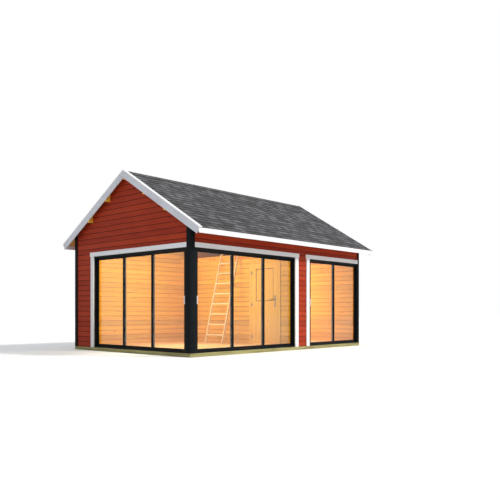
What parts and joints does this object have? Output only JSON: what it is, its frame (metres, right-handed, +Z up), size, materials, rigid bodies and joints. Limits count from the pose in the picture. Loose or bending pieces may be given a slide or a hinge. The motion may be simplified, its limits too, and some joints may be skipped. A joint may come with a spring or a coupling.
{
  "type": "garden shed",
  "caption": "Log garden shed with a glazed corner room behind sliding doors, a closed room, an inner door, a ladder to a loft and a shingled gable roof.",
  "frame": {"origin": "centre of the footprint at ground level, on the underside of the foundation beams", "axes": "+X along the ridge away from the glazed gable, -Y towards the front, +Z up"},
  "size_m": [6.285, 4.8226, 3.9808],
  "materials": {
    "impregnated_wood": "pressure-treated pine, sawn",
    "floor_pine": "planed pine",
    "red_logs": "planed logs, red wood paint",
    "black_boards": "planed boards, black wood paint",
    "white_boards": "planed boards, white wood paint",
    "door_frame_metal": "powder coated",
    "window_glass": "clear float glass",
    "pull_metal": "satin anodised",
    "pine": "planed pine, bare",
    "door_fittings": "satin",
    "roof_shingles": "mineral-faced bitumen"
  },
  "bodies": {
    "shed": {"foundation_long_beams": "impregnated_wood", "foundation_joists": "impregnated_wood", "floor_boards": "floor_pine", "back_wall": "red_logs", "right_gable_wall": "red_logs", "glazed_gable_pier": "red_logs", "glazed_gable_upper_wall": "red_logs", "front_pier": "red_logs", "front_upper_wall": "red_logs", "corner_post": "black_boards", "corner_boards": "black_boards", "head_trims": "white_boards", "side_trims": "white_boards", "door_frame_jambs": "door_frame_metal", "door_frame_heads": "door_frame_metal", "door_frame_sills": "door_frame_metal", "fixed_panels": "door_frame_metal", "fixed_glass": "window_glass", "partition_back_part": "pine", "partition_front_part": "pine", "partition_over_door": "pine", "inner_door_jambs": "pine", "inner_door_head": "pine", "hinge_pins": "door_fittings", "loft_joists": "pine", "loft_boards": "pine", "ladder_stiles": "pine", "ladder_rungs": "pine", "ridge_beam": "pine", "purlins": "pine", "front_roof_boards": "pine", "back_roof_boards": "pine", "front_shingles": "roof_shingles", "back_shingles": "roof_shingles", "ridge_cap": "roof_shingles", "eave_fascias": "white_boards", "front_bargeboards": "white_boards", "back_bargeboards": "white_boards", "front_barge_caps": "white_boards", "back_barge_caps": "white_boards"},
    "front_outer_door": {"front_outer_panel": "door_frame_metal", "front_outer_glass": "window_glass", "front_outer_pull": "pull_metal"},
    "front_middle_door": {"front_middle_panel": "door_frame_metal", "front_middle_glass": "window_glass"},
    "gable_outer_door": {"gable_outer_panel": "door_frame_metal", "gable_outer_glass": "window_glass", "gable_outer_pull": "pull_metal"},
    "gable_middle_door": {"gable_middle_panel": "door_frame_metal", "gable_middle_glass": "window_glass"},
    "narrow_outer_door": {"narrow_outer_panel": "door_frame_metal", "narrow_outer_glass": "window_glass", "narrow_outer_pull": "pull_metal"},
    "inner_door": {"inner_door_leaf": "pine", "inner_door_handle": "door_fittings", "hinge_knuckles": "door_fittings"}
  },
  "joints": [
    {"name": "front_outer_slide", "type": "slide", "parent": "shed", "child": "front_outer_door", "axis": [1, 0, 0], "range_m": [0, 2.064]},
    {"name": "front_middle_slide", "type": "slide", "parent": "shed", "child": "front_middle_door", "axis": [1, 0, 0], "range_m": [0, 1.029]},
    {"name": "gable_outer_slide", "type": "slide", "parent": "shed", "child": "gable_outer_door", "axis": [0, 1, 0], "range_m": [0, 2.064]},
    {"name": "gable_middle_slide", "type": "slide", "parent": "shed", "child": "gable_middle_door", "axis": [0, 1, 0], "range_m": [0, 1.029]},
    {"name": "narrow_outer_slide", "type": "slide", "parent": "shed", "child": "narrow_outer_door", "axis": [1, 0, 0], "range_m": [0, 1.005]},
    {"name": "inner_door_hinge", "type": "hinge", "parent": "shed", "child": "inner_door", "pos_m": [0.2995, -0.6425, 1.1], "axis": [0, 0, -1], "range_deg": [0, 110]}
  ]
}
